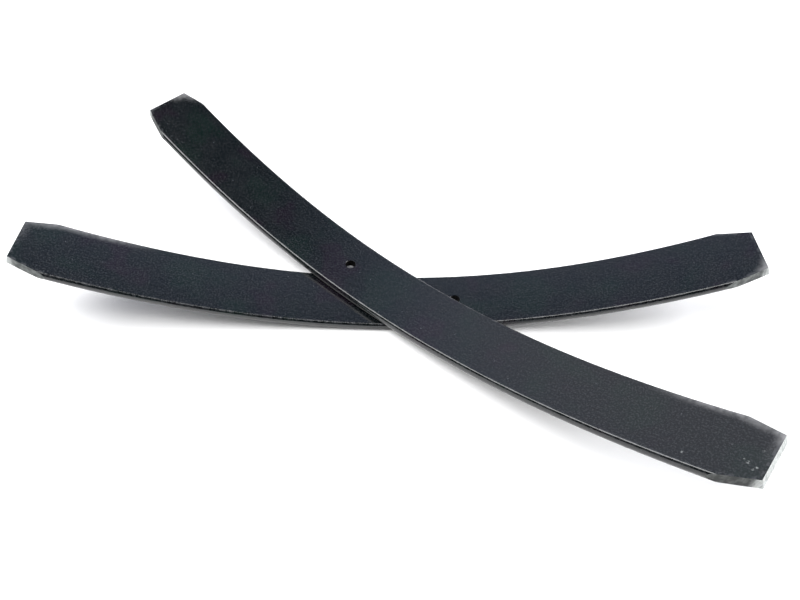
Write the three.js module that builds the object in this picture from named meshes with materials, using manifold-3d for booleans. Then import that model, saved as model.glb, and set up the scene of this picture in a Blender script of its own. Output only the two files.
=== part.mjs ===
// A pair of loose leaves from a road spring: two identical arched bars of flat spring steel, painted
// black, one lying across the other with the hollow side of each facing up.
// Millimetres, +Z up, the lower leaf along X. The origin is on the floor, under the middle of the pair.
import * as THREE from "three";
import { mergeVertices } from "three/addons/utils/BufferGeometryUtils.js";
import Module from "manifold-3d";

const wasm = await Module();
wasm.setup();

// The bar that both leaves are cut from.
const WIDTH = 63.5;
const THICKNESS = 8.2;
const EDGE_RADIUS = 0.65 * THICKNESS; // the rolled edges are round, flatter than a half circle
const EDGE_STEPS = 4; // each round edge is drawn in twice this many flat strips

// The arch. Its line is a parabola, the bolt hole is at the crown, and the two arms differ in length.
const CROWN_RADIUS = 700; // radius of the hollow face at the crown
const LONG_REACH = 384.5; // from the hole to the end of the long arm, measured level
const SHORT_REACH = 269.5;
const BENDS = 48; // flat stretches along one leaf
const HOLE_DIAMETER = 10; // for a 3/8 inch centre bolt
const HOLE_SEGMENTS = 32;

// How the pair lies. Each leaf is turned about its hole: heading about Z, then pitch about its own
// width, then roll about its own length. A heading of 0 points the long arm along +X.
// Both corners are sheared off each end, which leaves a narrower square end. A clip is one sheared
// corner, as [length along the leaf, width across it]. The corners are sheared one by one, so they
// differ by a few millimetres: each end has one on the leaf's own +Y side, then one on its -Y side.
const LOWER = {
  name: "lower_leaf",
  hole: [0, 0, 0],
  heading: 180,
  pitch: 4.6,
  roll: 0,
  clips: { long: [[33, 9.25], [31, 9.25]], short: [[36, 6.75], [33, 11.25]] },
};
const UPPER = {
  name: "upper_leaf",
  hole: [-101.6, 37, 8.87],
  heading: -39.9,
  pitch: 4.26,
  roll: -0.65,
  clips: { long: [[33, 9.25], [33, 9.25]], short: [[25, 9.25], [34, 9.25]] },
};

const PAINT = new THREE.MeshStandardMaterial({
  color: 0x23282b,
  roughness: 0.42,
  metalness: 0.1,
  flatShading: true,
});

// The line of the hollow face's middle, from the end of the short arm to the end of the long arm.
class ArchLine extends THREE.Curve {
  getPoint(t, target = new THREE.Vector3()) {
    const x = THREE.MathUtils.lerp(-SHORT_REACH, LONG_REACH, t);
    return target.set(x, 0, (x * x) / (2 * CROWN_RADIUS));
  }
}

// A closed geometry as a solid that can be cut.
function solidOf(geometry) {
  geometry.deleteAttribute("normal");
  geometry.deleteAttribute("uv");
  const merged = mergeVertices(geometry);
  return new wasm.Manifold(
    new wasm.Mesh({
      numProp: 3,
      vertProperties: merged.attributes.position.array,
      triVerts: new Uint32Array(merged.index.array),
    }),
  );
}

// A solid as a geometry again.
function geometryOf(solid) {
  const mesh = solid.getMesh();
  const geometry = new THREE.BufferGeometry();
  geometry.setAttribute("position", new THREE.BufferAttribute(mesh.vertProperties, 3));
  geometry.setIndex(new THREE.BufferAttribute(mesh.triVerts, 1));
  geometry.computeVertexNormals();
  return geometry;
}

// The bar's cross-section: X across the bar, Y the depth below its hollow face.
function barSection() {
  const middle = THICKNESS / 2;
  const bulge = Math.asin(middle / EDGE_RADIUS); // half the angle that one round edge spans
  const centre = WIDTH / 2 - EDGE_RADIUS;
  return new THREE.Shape()
    .absarc(centre, middle, EDGE_RADIUS, -bulge, bulge)
    .absarc(-centre, middle, EDGE_RADIUS, Math.PI - bulge, Math.PI + bulge);
}

// The whole bar, bent along the arch, with its ends still square.
function archedBar() {
  return new THREE.ExtrudeGeometry(barSection(), {
    steps: BENDS,
    curveSegments: EDGE_STEPS,
    extrudePath: new ArchLine(),
  });
}

// What is sheared off one corner: a three-sided prism, upright on the leaf's face at that end.
// end is 1 at the long arm and -1 at the short arm, and side is 1 or -1 along the leaf's own Y.
function cornerPiece(end, side, [length, width]) {
  const reach = end > 0 ? LONG_REACH : SHORT_REACH;
  const spare = THICKNESS; // how far the prism stands out past the bar
  const edge = WIDTH / 2;
  const slant = length / width; // length along the leaf per unit of width
  const outline = new THREE.Shape([
    new THREE.Vector2(end * -(length + spare * slant), side * (edge + spare)),
    new THREE.Vector2(end * spare, side * (edge + spare)),
    new THREE.Vector2(end * spare, side * (edge - width - spare / slant)),
  ]);
  const prism = new THREE.ExtrudeGeometry(outline, {
    depth: 3 * THICKNESS,
    bevelEnabled: false,
  });
  const x = end * reach;
  prism.translate(0, 0, -2 * THICKNESS);
  prism.rotateY(-Math.atan(x / CROWN_RADIUS));
  prism.translate(x, 0, (x * x) / (2 * CROWN_RADIUS));
  return prism;
}

// The centre bolt's hole, straight through the crown.
function boltHole() {
  const radius = HOLE_DIAMETER / 2;
  const hole = new THREE.CylinderGeometry(radius, radius, 3 * THICKNESS, HOLE_SEGMENTS);
  return hole.rotateX(Math.PI / 2);
}

// One leaf, placed as its row says. Its own origin is the middle of the hole, on the hollow face.
function leaf({ name, hole, heading, pitch, roll, clips }) {
  let solid = solidOf(archedBar()).subtract(solidOf(boltHole()));
  for (const [end, [left, right]] of [[1, clips.long], [-1, clips.short]]) {
    solid = solid.subtract(solidOf(cornerPiece(end, 1, left)));
    solid = solid.subtract(solidOf(cornerPiece(end, -1, right)));
  }
  const mesh = new THREE.Mesh(geometryOf(solid), PAINT.clone());
  mesh.name = name;
  const [turnX, turnY, turnZ] = [roll, pitch, heading].map(THREE.MathUtils.degToRad);
  mesh.rotation.set(turnX, turnY, turnZ, "ZYX");
  mesh.position.set(...hole);
  return mesh;
}

const group = new THREE.Group();
group.name = "leaf_spring_pair";
group.add(leaf(LOWER), leaf(UPPER));

// Moves the pair so that the origin is on the floor, under the middle of its box.
const box = new THREE.Box3().setFromObject(group, true);
const middle = box.getCenter(new THREE.Vector3());
for (const mesh of group.children) {
  mesh.position.sub(new THREE.Vector3(middle.x, middle.y, box.min.z));
}

export default group;
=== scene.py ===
# Two loose spring leaves, painted black, lying crossed with their hollow faces up.
#
# Lengths are in metres and angles in degrees. A leaf's own X runs along its arms with the long arm
# at +X, its Y runs across the bar, and its Z stands up out of the hollow face. Its origin is the
# middle of the bolt hole on that face.
import math
import random

import bmesh
import bpy
from mathutils import Matrix, Vector


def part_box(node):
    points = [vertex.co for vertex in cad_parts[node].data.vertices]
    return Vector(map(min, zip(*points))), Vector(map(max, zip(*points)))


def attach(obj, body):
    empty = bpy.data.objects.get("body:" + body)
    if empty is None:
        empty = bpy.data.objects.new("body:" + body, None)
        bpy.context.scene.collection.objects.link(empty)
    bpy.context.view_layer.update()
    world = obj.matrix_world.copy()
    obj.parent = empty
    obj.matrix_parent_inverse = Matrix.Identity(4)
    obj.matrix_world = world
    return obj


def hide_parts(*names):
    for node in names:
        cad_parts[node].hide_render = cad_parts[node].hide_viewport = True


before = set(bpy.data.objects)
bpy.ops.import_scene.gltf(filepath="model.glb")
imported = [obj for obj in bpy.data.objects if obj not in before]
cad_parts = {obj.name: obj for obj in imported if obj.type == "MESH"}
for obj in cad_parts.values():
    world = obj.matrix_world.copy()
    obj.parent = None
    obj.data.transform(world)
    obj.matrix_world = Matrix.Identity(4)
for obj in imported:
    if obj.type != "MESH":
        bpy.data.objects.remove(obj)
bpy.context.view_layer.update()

# ---- Sizes ----

# The bar, as in the CAD part.
WIDTH = 0.0635
THICKNESS = 0.0082
EDGE_RADIUS = 0.65 * THICKNESS
CROWN_RADIUS = 0.7
LONG_REACH = 0.3845
SHORT_REACH = 0.2695
HOLE_RADIUS = 0.005

# Small shapes that the CAD part leaves out.
CORNER_RADIUS = 0.0014  # between a flat face and the rolled edge
HOLE_BREAK = 0.0002  # the worn lip of the bolt hole
SHEAR_BREAK = 0.0003  # the broken edge round each sheared face
SHEAR_RAGGED = 0.00012  # how unevenly it is broken

# How fine the mesh is.
CELL = 0.003
SUPPORT = 0.0004  # a last narrow row keeps the flat faces flat right up to the corner
CORNER_STEPS = 5
EDGE_STEPS = 7  # in half a rolled edge
HOLE_STEPS = 48
CUT_SNAP = 1e-7  # a vertex this close to a cut counts as on it
BORE_LEAN = 0.1  # the most that a normal of the bolt hole's wall points up or down
SHARP_ANGLE = 30  # edges that turn by more than this are shaded sharp

# Each leaf: how it lies and its clips, as in the CAD part, and what its materials show.
#   clips     the sheared corners of each end, on the leaf's own +Y side and then on its -Y side, as
#             (length along the leaf, width across it)
#   seed      picks the leaf's own chance variations
#   coat_and_shade_share  how bright the coat on the sheared faces is, as a share; lower on the upper
#   leaf as painted shade
#   glare_places  where a pale haze of painted glare lies on the rim, as (length along the bar
#               from the hole, distance across it, reach)
#   scuffs    small marks on the hollow face, given in the same way
LEAVES = {
    "lower_leaf": {
        "heading": 180,
        "pitch": 4.6,
        "roll": 0,
        "clips": {
            "long": [(0.033, 0.00925), (0.031, 0.00925)],
            "short": [(0.036, 0.00675), (0.033, 0.01125)],
        },
        "seed": 3,
        "coat_and_shade_share": 0.38,
        "glare_places": [(0.352, -0.042, 0.075), (-0.277, 0.025, 0.016)],
        "scuffs": [],
    },
    "upper_leaf": {
        "heading": -39.9,
        "pitch": 4.26,
        "roll": -0.65,
        "clips": {
            "long": [(0.033, 0.00925), (0.033, 0.00925)],
            "short": [(0.025, 0.00925), (0.034, 0.00925)],
        },
        "seed": 8,
        "coat_and_shade_share": 0.18,
        "glare_places": [(0.360, 0.044, 0.072), (0.403, 0.022, 0.016), (-0.278, 0.022, 0.022)],
        "scuffs": [
            (0.3900, -0.0112, 0.0020),
            (0.3962, -0.0137, 0.0016),
            (0.3945, -0.0160, 0.0014),
            (0.3951, 0.0023, 0.0013),
            (0.3868, -0.0095, 0.0012),
            (0.3490, -0.0217, 0.0014),
        ],
    },
}

SHEAR_SLOT, BORE_SLOT = 1, 2  # the paint is slot 0


# ---- The arch ----

def arch_height(x):
    """Height of the hollow face's middle line above the hole, at a level distance x from it."""
    return x * x / (2 * CROWN_RADIUS)


def arch_directions(x):
    """Along the arch towards the long arm, and out of its hollow face, at a level distance x."""
    along = Vector((1, 0, x / CROWN_RADIUS)).normalized()
    return along, Vector((-along.z, 0, along.x))


def arch_point(x, y, z):
    """The place of a point that is y across the bar and z out of the hollow face."""
    _, out = arch_directions(x)
    return Vector((x, y, arch_height(x))) + z * out


def arch_length(x):
    """Length along the arch from the hole, which is negative on the short arm."""
    slope = x / CROWN_RADIUS
    return CROWN_RADIUS / 2 * (slope * math.hypot(1, slope) + math.asinh(slope))


# ---- A leaf's mesh ----

def quarter_section():
    """A quarter of the bar's outline, from the middle of a flat face to the middle of an edge."""
    half = THICKNESS / 2
    edge_centre = WIDTH / 2 - EDGE_RADIUS
    height = half - CORNER_RADIUS
    corner_centre = edge_centre + math.sqrt((EDGE_RADIUS - CORNER_RADIUS) ** 2 - height**2)
    meeting = math.atan2(height, corner_centre - edge_centre)
    rows = int((corner_centre - SUPPORT) / CELL)
    points = [(CELL * row, half) for row in range(rows + 1)]
    points.append((corner_centre - SUPPORT, half))
    for step in range(CORNER_STEPS):
        angle = math.pi / 2 + (meeting - math.pi / 2) * step / CORNER_STEPS
        points.append((
            corner_centre + CORNER_RADIUS * math.cos(angle),
            height + CORNER_RADIUS * math.sin(angle),
        ))
    for step in range(EDGE_STEPS + 1):
        angle = meeting * (1 - step / EDGE_STEPS)
        points.append((
            edge_centre + EDGE_RADIUS * math.cos(angle),
            EDGE_RADIUS * math.sin(angle),
        ))
    return points


def bar_section():
    """The bar's closed outline as (y, z), with z 0 on the hollow face.

    It runs clockwise as seen from the end of the long arm.
    """
    quarter = quarter_section()
    right_top = quarter
    right_low = [(y, -z) for y, z in quarter[-2::-1]]
    left_low = [(-y, -z) for y, z in quarter[1:]]
    left_top = [(-y, z) for y, z in quarter[-2:0:-1]]
    outline = right_top + right_low + left_low + left_top
    return [(y, z - THICKNESS / 2) for y, z in outline]


def skin(mesh, rings):
    """Joins rings of vertices, each to the next, with four-sided faces."""
    for ring, following in zip(rings, rings[1:]):
        for here in range(len(ring)):
            there = (here + 1) % len(ring)
            mesh.faces.new((ring[here], following[here], following[there], ring[there]))


def bent_bar():
    """The bar along the arch, a little longer than the leaf and with open ends."""
    mesh = bmesh.new()
    start, stop = -SHORT_REACH - CELL, LONG_REACH + CELL
    stations = round((stop - start) / CELL)
    section = bar_section()
    rings = []
    for station in range(stations + 1):
        x = start + (stop - start) * station / stations
        rings.append([mesh.verts.new(arch_point(x, y, z)) for y, z in section])
    skin(mesh, rings)
    bmesh.ops.recalc_face_normals(mesh, faces=mesh.faces)
    return mesh


def shear_planes(end, clips):
    """The three planes that end one arm, each as a point and a direction out of the leaf.

    end is 1 at the long arm and -1 at the short arm.
    """
    x = LONG_REACH if end > 0 else -SHORT_REACH
    tip = arch_point(x, 0, 0)
    along, _ = arch_directions(x)
    outward = end * along
    planes = [(tip, outward)]
    for side, (length, width) in zip((1, -1), clips):
        across = Vector((0, side, 0))
        corner = tip + (WIDTH / 2 - width) * across
        planes.append((corner, (length * across + width * outward).normalized()))
    return planes


def shear(mesh, point, direction):
    """Cuts the leaf off just inside a plane, and closes it with one face."""
    everything = mesh.verts[:] + mesh.edges[:] + mesh.faces[:]
    cut = bmesh.ops.bisect_plane(
        mesh,
        geom=everything,
        dist=CUT_SNAP,
        plane_co=point - SHEAR_BREAK * direction,
        plane_no=direction,
        clear_outer=True,
    )
    rim = [part for part in cut["geom_cut"] if isinstance(part, bmesh.types.BMEdge)]
    bmesh.ops.edgeloop_fill(mesh, edges=rim, mat_nr=SHEAR_SLOT)


def break_edges(mesh, chance):
    """Brings each sheared face out to its plane, with a narrow, slightly ragged break all round."""
    faces = [face for face in mesh.faces if face.material_index == SHEAR_SLOT]
    rims = bmesh.ops.inset_individual(
        mesh, faces=faces, thickness=SHEAR_BREAK, depth=SHEAR_BREAK
    )
    for rim in rims["faces"]:
        rim.material_index = SHEAR_SLOT
    for face in faces:
        middle = face.calc_center_median()
        for vertex in face.verts:
            inward = (middle - vertex.co).normalized()
            vertex.co += chance.uniform(0, SHEAR_RAGGED) * inward


def hole_cutter():
    """A round punch through the crown, flared where it meets both faces."""
    spare = CELL
    wide = HOLE_RADIUS + HOLE_BREAK + spare
    profile = [
        (wide, spare),
        (HOLE_RADIUS, -HOLE_BREAK),
        (HOLE_RADIUS, HOLE_BREAK - THICKNESS),
        (wide, -THICKNESS - spare),
    ]
    mesh = bmesh.new()
    rings = []
    for radius, z in profile:
        ring = []
        for step in range(HOLE_STEPS):
            angle = 2 * math.pi * step / HOLE_STEPS
            place = (radius * math.cos(angle), radius * math.sin(angle), z)
            ring.append(mesh.verts.new(place))
        rings.append(ring)
    skin(mesh, rings)
    mesh.faces.new(rings[0])
    mesh.faces.new(rings[-1])
    bmesh.ops.recalc_face_normals(mesh, faces=mesh.faces)
    return mesh


def object_of(mesh, name):
    """A bmesh as an object in the scene, with every face shaded smooth."""
    for face in mesh.faces:
        face.smooth = True
    data = bpy.data.meshes.new(name)
    mesh.to_mesh(data)
    mesh.free()
    made = bpy.data.objects.new(name, data)
    bpy.context.scene.collection.objects.link(made)
    return made


def punch(leaf):
    """Takes the bolt hole out of a leaf, and gives the hole's wall its own material slot."""
    cutter = object_of(hole_cutter(), "hole_cutter")
    cut = leaf.modifiers.new("bolt hole", "BOOLEAN")
    cut.operation = "DIFFERENCE"
    cut.solver = "EXACT"
    cut.object = cutter
    bpy.context.view_layer.update()
    graph = bpy.context.evaluated_depsgraph_get()
    punched = bpy.data.meshes.new_from_object(leaf.evaluated_get(graph))
    leaf.modifiers.clear()
    leaf.data = punched
    bpy.data.objects.remove(cutter)
    for face in leaf.data.polygons:
        from_axis = math.hypot(face.center.x, face.center.y)
        if from_axis < HOLE_RADIUS + HOLE_BREAK and abs(face.normal.z) < BORE_LEAN:
            face.material_index = BORE_SLOT


def insets(x, y, clips):
    """How far in from the leaf's outline and from its arm's tip a point lies, along its face."""
    if x > 0:
        reach, corners = LONG_REACH, clips["long"]
    else:
        reach, corners = SHORT_REACH, clips["short"]
    to_tip = arch_length(reach) - arch_length(abs(x))
    to_side = WIDTH / 2 - abs(y)
    length, width = corners[0] if y > 0 else corners[1]
    to_clip = (length * (to_side - width) + width * to_tip) / math.hypot(length, width)
    return max(0.0, min(to_tip, to_side, to_clip)), max(0.0, to_tip)


def note_places(leaf, clips):
    """Stores what the materials read at each vertex.

    flat is about the place on the bar before it was bent, inset the distance in from the leaf's
    outline, and tip the distance in from the arm's tip.
    """
    flat, inset, tip = [], [], []
    for vertex in leaf.data.vertices:
        x, y, z = vertex.co
        along, _ = arch_directions(x)
        flat += [arch_length(x), y, (z - arch_height(x)) * along.x]
        from_outline, from_tip = insets(x, y, clips)
        inset.append(from_outline)
        tip.append(from_tip)
    stored = leaf.data.attributes
    stored.new("flat", "FLOAT_VECTOR", "POINT").data.foreach_set("vector", flat)
    stored.new("inset", "FLOAT", "POINT").data.foreach_set("value", inset)
    stored.new("tip", "FLOAT", "POINT").data.foreach_set("value", tip)


def lay(leaf, node, heading, pitch, roll):
    """Turns a leaf about its hole, and sets it in the middle and on the bottom of its node's box."""
    turn = (
        Matrix.Rotation(math.radians(heading), 4, "Z")
        @ Matrix.Rotation(math.radians(pitch), 4, "Y")
        @ Matrix.Rotation(math.radians(roll), 4, "X")
    )
    leaf.data.transform(turn)
    places = [vertex.co for vertex in leaf.data.vertices]
    low = Vector(min(place[axis] for place in places) for axis in range(3))
    high = Vector(max(place[axis] for place in places) for axis in range(3))
    cad_low, cad_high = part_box(node)
    move = (cad_low + cad_high - low - high) / 2
    move.z = cad_low.z - low.z
    leaf.data.transform(Matrix.Translation(move))


def build_leaf(node, heading, pitch, roll, clips, seed, coat_and_shade_share, glare_places, scuffs):
    """One finished leaf, in place of its CAD node."""
    mesh = bent_bar()
    for end, arm in ((1, "long"), (-1, "short")):
        for point, direction in shear_planes(end, clips[arm]):
            shear(mesh, point, direction)
    break_edges(mesh, random.Random(seed))
    leaf = object_of(mesh, node + "_painted")
    punch(leaf)
    note_places(leaf, clips)
    lay(leaf, node, heading, pitch, roll)
    leaf.data.set_sharp_from_angle(angle=math.radians(SHARP_ANGLE))
    leaf.data.materials.append(black_paint(node, seed, glare_places, scuffs))
    leaf.data.materials.append(sheared_steel(node, seed, coat_and_shade_share))
    leaf.data.materials.append(shaded_bore(node, seed))
    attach(leaf, node)
    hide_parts(node)


# ---- Node trees ----

class Nodes:
    """A short way to write a node tree."""

    def __init__(self, tree):
        self.tree = tree
        tree.nodes.clear()

    def add(self, kind, settings=None, **inputs):
        """Adds a node.

        settings are the node's own properties. inputs are values or other sockets, each under the
        input's name, with _ for a space, or under _ and the input's number.
        """
        node = self.tree.nodes.new("ShaderNode" + kind)
        for name, value in (settings or {}).items():
            setattr(node, name, value)
        for name, value in inputs.items():
            key = int(name[1:]) if name[1:].isdigit() else name.replace("_", " ")
            self.put(node.inputs[key], value)
        return node

    def put(self, socket, value):
        """Links another socket to this one, or sets its own value."""
        if isinstance(value, bpy.types.NodeSocket):
            self.tree.links.new(value, socket)
        else:
            socket.default_value = value

    def attribute(self, name, output):
        """What note_places() stored under a name."""
        return self.add("Attribute", {"attribute_name": name}).outputs[output]

    def moved(self, vector, place=(0, 0, 0), scale=(1, 1, 1)):
        """A vector scaled and then moved."""
        return self.add("Mapping", Vector=vector, Location=place, Scale=scale).outputs[0]

    def noise(self, vector, size, detail=2.0, roughness=0.5):
        """Noise from about 0.25 to 0.75 whose blots are about size metres across."""
        made = self.add(
            "TexNoise", Vector=vector, Scale=1 / size, Detail=detail, Roughness=roughness
        )
        return made.outputs["Fac"]

    def spread(self, value, low, high, to_low=0.0, to_high=1.0):
        """Maps low..high smoothly to to_low..to_high, and holds those beyond."""
        made = self.add(
            "MapRange", {"interpolation_type": "SMOOTHSTEP"},
            Value=value, From_Min=low, From_Max=high, To_Min=to_low, To_Max=to_high,
        )
        return made.outputs[0]

    def maths(self, operation, first, second=0.0):
        """One arithmetic step."""
        return self.add("Math", {"operation": operation}, _0=first, _1=second).outputs[0]

    def near(self, flat, x, y, reach):
        """1 at a place on the hollow face, falling to 0 at reach metres from it."""
        away = self.add("VectorMath", {"operation": "DISTANCE"}, _0=flat, _1=(x, y, 0))
        return self.spread(away.outputs["Value"], reach, 0)

    def near_any(self, flat, places):
        """The greatest of near() over several places."""
        greatest = 0.0
        for x, y, reach in places:
            greatest = self.maths("MAXIMUM", greatest, self.near(flat, x, y, reach))
        return greatest

    def bump(self, height, **settings):
        """A normal that leans with a height. settings are more of the Bump node's inputs."""
        return self.add("Bump", Height=height, **settings).outputs[0]

    def mix(self, share, first, second):
        """The first colour where share is 0 and the second where it is 1."""
        made = self.add("Mix", {"data_type": "RGBA"}, _0=share, _6=first, _7=second)
        return made.outputs[2]


def colour(red, green, blue, share=1.0):
    """A linear colour, darkened to a share of its brightness."""
    return (share * red, share * green, share * blue, 1.0)


def new_material(name):
    """A material and an empty node tree for it."""
    material = bpy.data.materials.new(name)
    material.use_nodes = True
    return material, Nodes(material.node_tree)


# ---- Materials ----

# The paint's own colours: its usual tint, the tints of its two kinds of blot, and its fine grain.
PAINT = colour(0.0005, 0.0023, 0.0031)
PAINT_GREEN = colour(0.0001, 0.0052, 0.0038)
PAINT_VIOLET = colour(0.0040, 0.0015, 0.0052)
GRAIN_PALE = colour(0.020, 0.022, 0.024)
GRAIN_DARK = colour(0.0003, 0.0004, 0.0006)

# What lies on the paint, or shows where it is worn, and painted light: a highlight line and a glare
# haze.
DUST = colour(0.05, 0.055, 0.06)
SCUFF = colour(0.21, 0.22, 0.22)
# A thin grey line on the corners: partly paint worn thin, partly a painted highlight.
WORN_HIGHLIGHT_LINE = colour(0.035, 0.037, 0.040)
# A pale haze near the rim: painted glare.
GLARE_HAZE = colour(0.21, 0.21, 0.215)

# Sheared steel. The first three are (red, green, blue) before the leaf's coat_and_shade_share
# darkens them, partly as painted shade.
SHEAR_DARK = (0.18, 0.20, 0.195)
SHEAR_LIGHT = (0.48, 0.51, 0.495)
SHEAR_TORN = (0.10, 0.11, 0.11)
# Pale at the tips and on the end faces: partly bare steel, partly a painted highlight.
SHEAR_BARE_HIGHLIGHT = colour(0.62, 0.64, 0.63)
SHEAR_BARE_HIGHLIGHT_TORN = colour(0.36, 0.38, 0.37)

# The bolt hole's wall: near black, painted shade for the deep hole, with paler flecks.
BORE_SHADE = colour(0.001, 0.001, 0.0015)
BORE_SHADE_PALE = colour(0.010, 0.009, 0.009)

# The noises: how many metres across their blots are, and how much finer detail they hold.
TINT_NOISE = {"size": 0.055, "detail": 2.5}
GRAIN_NOISE = {"size": 0.0015, "detail": 2.0, "roughness": 0.7}
DUST_NOISE = {"size": 0.012, "detail": 0.0}
SCUFF_NOISE = {"size": 0.0012, "detail": 2.0}
GLOSS_NOISE = {"size": 0.02, "detail": 3.0}
DENT_NOISE = {"size": 0.005}
WORN_HIGHLIGHT_NOISE = {"size": 0.007, "detail": 3.0}
GLARE_HAZE_NOISE = {"size": 0.005, "detail": 3.0}
STREAK_NOISE = {"size": 0.0014, "detail": 3.0, "roughness": 0.65}
SHEAR_NOISE = {"size": 0.004, "detail": 3.0, "roughness": 0.6}
BORE_NOISE = {"size": 0.0015, "detail": 3.0}

# The noise values between which a feature goes from absent to full.
PAINT_GREEN_RANGE = (0.50, 0.64)
PAINT_VIOLET_RANGE = (0.46, 0.36)
GRAIN_PALE_RANGE = (0.49, 0.64)
GRAIN_DARK_RANGE = (0.46, 0.34)
DUST_RANGE = (0.58, 0.66)
SCUFF_RANGE = (0.42, 0.56)
WORN_HIGHLIGHT_RANGE = (0.44, 0.60)
GLARE_HAZE_RANGE = (0.3, 0.6)
SHEAR_LIGHT_RANGE = (0.38, 0.62)
SHEAR_TORN_RANGE = (0.48, 0.66)
SHEAR_BARE_HIGHLIGHT_TORN_RANGE = (0.40, 0.62)
BORE_PALE_RANGE = (0.4, 0.65)
WHOLE_RANGE = (0.3, 0.7)  # nearly all of a noise's values

# Distances in metres between which a feature goes from absent to full.
WORN_HIGHLIGHT_INSET = (0.0035, 0.0020)  # in from the leaf's outline
WORN_HIGHLIGHT_DEPTH = (0.0012, 0.0003)  # under the nearer flat face
GLARE_HAZE_INSET = (0.0105, 0.0005)  # measured like the line's
GLARE_HAZE_DEPTH = (0.0030, 0.0010)
BARE_HIGHLIGHT_TIP = (0.0065, 0.0)  # in from the arm's tip

DUST_CELL = 0.006  # there is one speck of dust at most in a cell this wide
DUST_RADIUS = (0.11, 0.06)  # where a speck ends and where it is full, as shares of its cell
GLARE_HAZE_FALL = 1.5  # a power that draws the haze towards the rim
GLARE_HAZE_LEAST = 0.45  # the share of the haze that shows where it is thinnest
TORN_MOST = 0.6  # the share of the tears' own colour that shows in the coat
BARE_HIGHLIGHT_MOST = 0.9  # the share of bare steel and painted highlight that shows right at a tip
TORN_STRETCH = (1, 1, 0.12)  # the tears run across the bar's thickness

# Gloss. A roughness in two numbers is the least and the most over the surface.
PAINT_IOR = 1.62
PAINT_ROUGHNESS = (0.16, 0.21)
STEEL_ROUGHNESS = 0.7
BORE_ROUGHNESS = (0.7, 0.9)
BORE_SPECULAR = 0.15

# The bumps: how strong they are, and how deep in metres.
GRAIN_BUMP = {"Strength": 0.35, "Distance": 0.0002}
DENT_BUMP = {"Strength": 0.35, "Distance": 0.0003}
STREAK_BUMP = {"Strength": 0.6, "Distance": 0.0003}
BORE_BUMP = {"Strength": 0.5, "Distance": 0.0003}


def black_paint(node, seed, glare_places, scuffs):
    """Thin black paint over rolled steel, grainy, dusty and scuffed, with a rim line of wear and
    painted highlight, and painted glare near the rim.
    """
    material, nodes = new_material(node + "_black_paint")
    flat = nodes.attribute("flat", "Vector")
    place = nodes.moved(flat, place=(seed, seed, 0))

    blots = nodes.noise(place, **TINT_NOISE)
    tint = nodes.mix(nodes.spread(blots, *PAINT_GREEN_RANGE), PAINT, PAINT_GREEN)
    tint = nodes.mix(nodes.spread(blots, *PAINT_VIOLET_RANGE), tint, PAINT_VIOLET)

    grain = nodes.noise(place, **GRAIN_NOISE)
    tint = nodes.mix(nodes.spread(grain, *GRAIN_PALE_RANGE), tint, GRAIN_PALE)
    tint = nodes.mix(nodes.spread(grain, *GRAIN_DARK_RANGE), tint, GRAIN_DARK)

    tint = dusted(nodes, place, tint)
    # The rim's line of wear and painted highlight, and its painted glare.
    tint = rim_wear_and_painted_light(nodes, flat, place, tint, glare_places)
    if scuffs:
        ragged = nodes.spread(nodes.noise(place, **SCUFF_NOISE), *SCUFF_RANGE)
        scuffed = nodes.maths("MULTIPLY", nodes.near_any(flat, scuffs), ragged)
        tint = nodes.mix(scuffed, tint, SCUFF)

    gloss = nodes.noise(place, **GLOSS_NOISE)
    roughness = nodes.spread(gloss, *WHOLE_RANGE, *PAINT_ROUGHNESS)
    relief = nodes.bump(grain, **GRAIN_BUMP)
    relief = nodes.bump(nodes.noise(place, **DENT_NOISE), **DENT_BUMP, Normal=relief)
    paint = nodes.add(
        "BsdfPrincipled", Base_Color=tint, Roughness=roughness, IOR=PAINT_IOR, Normal=relief
    )
    nodes.add("OutputMaterial", Surface=paint.outputs[0])
    return material


def dusted(nodes, place, tint):
    """Adds scattered specks of dust to a tint, more in some areas than in others."""
    cells = nodes.add("TexVoronoi", Vector=place, Scale=1 / DUST_CELL)
    speck = nodes.spread(cells.outputs["Distance"], *DUST_RADIUS)
    area = nodes.spread(nodes.noise(place, **DUST_NOISE), *DUST_RANGE)
    return nodes.mix(nodes.maths("MULTIPLY", speck, area), tint, DUST)


def rim_wear_and_painted_light(nodes, flat, place, tint, glare_places):
    """Adds to a tint a thin broken grey line on the corners, partly wear and partly a painted
    highlight, and a pale haze of painted glare near the rim where given.
    """
    inset = nodes.attribute("inset", "Fac")
    depth = nodes.add("SeparateXYZ", Vector=flat).outputs["Z"]
    from_middle = nodes.maths("ABSOLUTE", nodes.maths("ADD", depth, THICKNESS / 2))

    def near_face(start, full):
        """Goes from 0 to 1 between two depths under the nearer flat face."""
        return nodes.spread(from_middle, THICKNESS / 2 - start, THICKNESS / 2 - full)

    # The line on the corners: partly wear, partly a painted highlight.
    line_shape = nodes.spread(inset, *WORN_HIGHLIGHT_INSET)
    broken = nodes.spread(nodes.noise(place, **WORN_HIGHLIGHT_NOISE), *WORN_HIGHLIGHT_RANGE)
    line = nodes.maths("MULTIPLY", line_shape, broken)
    line = nodes.maths("MULTIPLY", line, near_face(*WORN_HIGHLIGHT_DEPTH))
    tint = nodes.mix(line, tint, WORN_HIGHLIGHT_LINE)

    # The pale haze near the rim: painted glare.
    rim = nodes.maths("POWER", nodes.spread(inset, *GLARE_HAZE_INSET), GLARE_HAZE_FALL)
    haze = nodes.maths("MULTIPLY", rim, nodes.near_any(flat, glare_places))
    uneven = nodes.noise(place, **GLARE_HAZE_NOISE)
    patches = nodes.spread(uneven, *GLARE_HAZE_RANGE, GLARE_HAZE_LEAST, 1.0)
    haze = nodes.maths("MULTIPLY", haze, patches)
    haze = nodes.maths("MULTIPLY", haze, near_face(*GLARE_HAZE_DEPTH))
    return nodes.mix(haze, tint, GLARE_HAZE)


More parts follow.
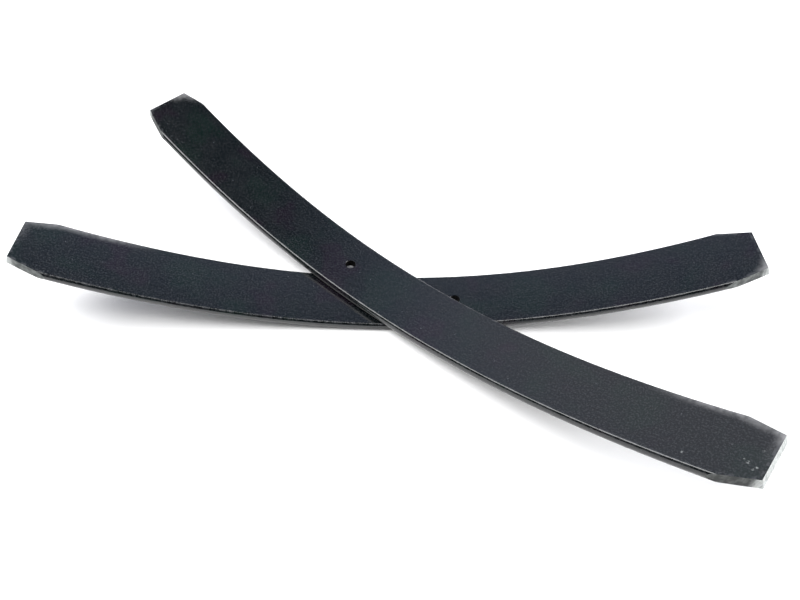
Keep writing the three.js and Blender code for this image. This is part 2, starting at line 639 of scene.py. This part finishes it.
def sheared_steel(node, seed, coat_and_shade_share):
    """A sheared face under a thin grey coat, darker on the upper leaf as painted shade, torn across
    its thickness, and pale at the tip: partly bare steel, partly a painted highlight.
    """
    material, nodes = new_material(node + "_sheared_steel")
    flat = nodes.attribute("flat", "Vector")
    place = nodes.moved(flat, place=(seed, seed, 0))
    torn = nodes.moved(flat, place=(seed, seed, 0), scale=TORN_STRETCH)
    streaks = nodes.noise(torn, **STREAK_NOISE)
    blots = nodes.noise(place, **SHEAR_NOISE)

    # The coat's colours, darkened by a share that is painted shade on the upper leaf.
    dark = colour(*SHEAR_DARK, share=coat_and_shade_share)
    light = colour(*SHEAR_LIGHT, share=coat_and_shade_share)
    torn_dark = colour(*SHEAR_TORN, share=coat_and_shade_share)
    coated = nodes.mix(nodes.spread(blots, *SHEAR_LIGHT_RANGE), dark, light)
    tears = nodes.spread(streaks, *SHEAR_TORN_RANGE, 0.0, TORN_MOST)
    coated = nodes.mix(tears, coated, torn_dark)

    bare_highlight = nodes.mix(nodes.spread(streaks, *SHEAR_BARE_HIGHLIGHT_TORN_RANGE), SHEAR_BARE_HIGHLIGHT, SHEAR_BARE_HIGHLIGHT_TORN)
    # Pale at the tip and on the end faces: bare steel, partly a painted highlight.
    at_tip = nodes.spread(nodes.attribute("tip", "Fac"), *BARE_HIGHLIGHT_TIP, 0.0, BARE_HIGHLIGHT_MOST)
    base = nodes.mix(at_tip, coated, bare_highlight)
    relief = nodes.bump(streaks, **STREAK_BUMP)
    steel = nodes.add(
        "BsdfPrincipled", Base_Color=base, Roughness=STEEL_ROUGHNESS, Normal=relief
    )
    nodes.add("OutputMaterial", Surface=steel.outputs[0])
    return material


def shaded_bore(node, seed):
    """The bolt hole's wall: dull and near black as painted shade for the deep hole, with paler
    flecks.
    """
    material, nodes = new_material(node + "_scaled_bore")
    place = nodes.moved(nodes.attribute("flat", "Vector"), place=(seed, seed, 0))
    scale = nodes.noise(place, **BORE_NOISE)
    # Near black: painted shade inside the hole, flecked paler.
    base = nodes.mix(nodes.spread(scale, *BORE_PALE_RANGE), BORE_SHADE, BORE_SHADE_PALE)
    relief = nodes.bump(scale, **BORE_BUMP)
    bore = nodes.add(
        "BsdfPrincipled",
        Base_Color=base,
        Roughness=nodes.spread(scale, *WHOLE_RANGE, *BORE_ROUGHNESS),
        Specular_IOR_Level=BORE_SPECULAR,
        Normal=relief,
    )
    nodes.add("OutputMaterial", Surface=bore.outputs[0])
    return material


# ---- Floor, light and camera ----

FLOOR_REACH = 6.0
FLOOR_COLOUR = colour(0.9, 0.9, 0.9)
FLOOR_GLOW = 0.08  # light of its own, as if it were translucent and lit from below

# The room is dim but for a pale wall behind the leaves, bluer higher up. The wall's bounds are parts
# of a unit direction: how far it points up, and how far it points back along +Y.
ROOM_DARK = 0.02
WALL_LIGHT = 0.67
WALL_UP = (0.915, 0.58)  # from no wall to its full brightness
WALL_BACK = (0.0, 0.35)  # the same, from the side to the back
WALL_TURNS_BLUE = (0.56, 0.76)
WALL_LOW_COLOUR = colour(0.97, 0.97, 1.08)
WALL_HIGH_COLOUR = colour(0.84, 0.97, 1.38)

# Softboxes: how bright they are, how wide, and in which direction from the leaves.
SOFTBOX_DISTANCE = 1.5
SOFTBOXES = {
    "overhead_softbox": {"radiance": 6.6, "size": 1.4, "towards": (-0.44, -0.05, 0.89)},
    "right_softbox": {"radiance": 5.6, "size": 1.3, "towards": (0.86, 0.03, 0.50)},
}

# The camera: its lens and sensor in millimetres, and where it looks from and at.
CAMERA_LENS = 31.31
CAMERA_SENSOR = 36
CAMERA_TARGET = Vector((0.0111, 0.0103, 0))
CAMERA_DISTANCE = 0.6821
CAMERA_ELEVATION = 48.665
CAMERA_ROLL = 0.656


def floor():
    """A pale, matt floor that glows a little."""
    mesh = bmesh.new()
    bmesh.ops.create_grid(mesh, x_segments=1, y_segments=1, size=FLOOR_REACH)
    made = object_of(mesh, "floor")
    material, nodes = new_material("pale_floor")
    matt = nodes.add(
        "BsdfPrincipled",
        Base_Color=FLOOR_COLOUR,
        Roughness=1.0,
        Specular_IOR_Level=0.0,
        Emission_Color=colour(1, 1, 1),
        Emission_Strength=FLOOR_GLOW,
    )
    nodes.add("OutputMaterial", Surface=matt.outputs[0])
    made.data.materials.append(material)


def room():
    """Soft light from a pale wall behind the leaves, and little from anywhere else."""
    world = bpy.data.worlds.new("studio")
    world.use_nodes = True
    nodes = Nodes(world.node_tree)
    direction = nodes.add("SeparateXYZ", Vector=nodes.add("TexCoord").outputs["Generated"])
    low = nodes.spread(direction.outputs["Z"], *WALL_UP)
    back = nodes.spread(direction.outputs["Y"], *WALL_BACK)
    wall = nodes.spread(nodes.maths("MULTIPLY", low, back), 0, 1, ROOM_DARK, WALL_LIGHT)
    blue = nodes.spread(direction.outputs["Z"], *WALL_TURNS_BLUE)
    tint = nodes.mix(blue, WALL_LOW_COLOUR, WALL_HIGH_COLOUR)
    light = nodes.add("Background", Color=tint, Strength=wall)
    nodes.add("OutputWorld", Surface=light.outputs[0])
    bpy.context.scene.world = world


def softbox(name, radiance, size, towards):
    """A square soft light that faces the leaves."""
    data = bpy.data.lights.new(name, "AREA")
    data.shape = "SQUARE"
    data.size = size
    data.energy = radiance * math.pi * size**2
    light = bpy.data.objects.new(name, data)
    bpy.context.scene.collection.objects.link(light)
    towards = Vector(towards).normalized()
    light.location = SOFTBOX_DISTANCE * towards
    light.rotation_euler = towards.to_track_quat("Z", "Y").to_euler()


def camera():
    """The camera, looking down along +Y."""
    data = bpy.data.cameras.new("camera")
    data.sensor_width = CAMERA_SENSOR
    data.lens = CAMERA_LENS
    made = bpy.data.objects.new("camera", data)
    bpy.context.scene.collection.objects.link(made)
    elevation = math.radians(CAMERA_ELEVATION)
    back = Vector((0, -math.cos(elevation), math.sin(elevation)))
    aim = (-back).to_track_quat("-Z", "Y").to_matrix().to_4x4()
    place = Matrix.Translation(CAMERA_TARGET + CAMERA_DISTANCE * back)
    made.matrix_world = place @ aim @ Matrix.Rotation(math.radians(CAMERA_ROLL), 4, "Z")
    bpy.context.scene.camera = made


for name, row in LEAVES.items():
    build_leaf(name, **row)
floor()
room()
for name, row in SOFTBOXES.items():
    softbox(name, **row)
camera()
bpy.context.scene.view_settings.view_transform = "Standard"
